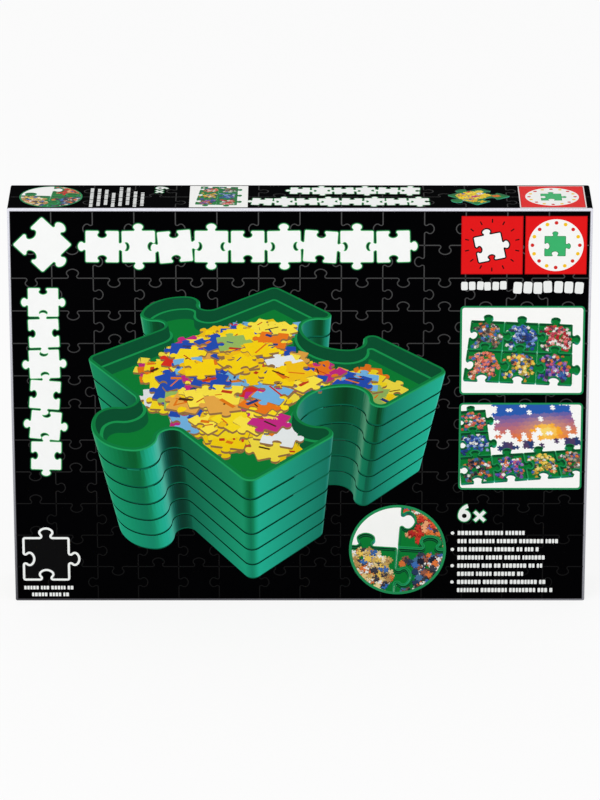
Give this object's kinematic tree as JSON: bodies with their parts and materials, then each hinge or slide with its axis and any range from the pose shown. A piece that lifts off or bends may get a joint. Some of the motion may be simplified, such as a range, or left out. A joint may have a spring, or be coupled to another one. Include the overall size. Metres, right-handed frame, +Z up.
{
  "type": "boxed set of jigsaw puzzle sorting trays",
  "caption": "Flat cardboard box with a lift-off printed lid, holding green plastic trays shaped like jigsaw pieces that nest and lock together, for sorting puzzle pieces.",
  "frame": {"origin": "middle of the footprint, on the surface the box stands on", "axes": "+X to the right as the printed front is seen, +Y from the printed front to the back, +Z up"},
  "size_m": [0.37, 0.047, 0.27],
  "materials": {
    "lid_card": "satin",
    "base_card": "satin",
    "tray_plastic": "satin"
  },
  "bodies": {
    "base": {"base": "base_card", "sorting_tray_1": "tray_plastic", "sorting_tray_2": "tray_plastic", "sorting_tray_3": "tray_plastic", "sorting_tray_4": "tray_plastic", "sorting_tray_5": "tray_plastic", "sorting_tray_6": "tray_plastic"},
    "lid": {"lid": "lid_card"}
  },
  "joints": [
    {"name": "lid_slide", "type": "slide", "parent": "base", "child": "lid", "axis": [0, -1, 0], "range_m": [0, 0.06]}
  ]
}
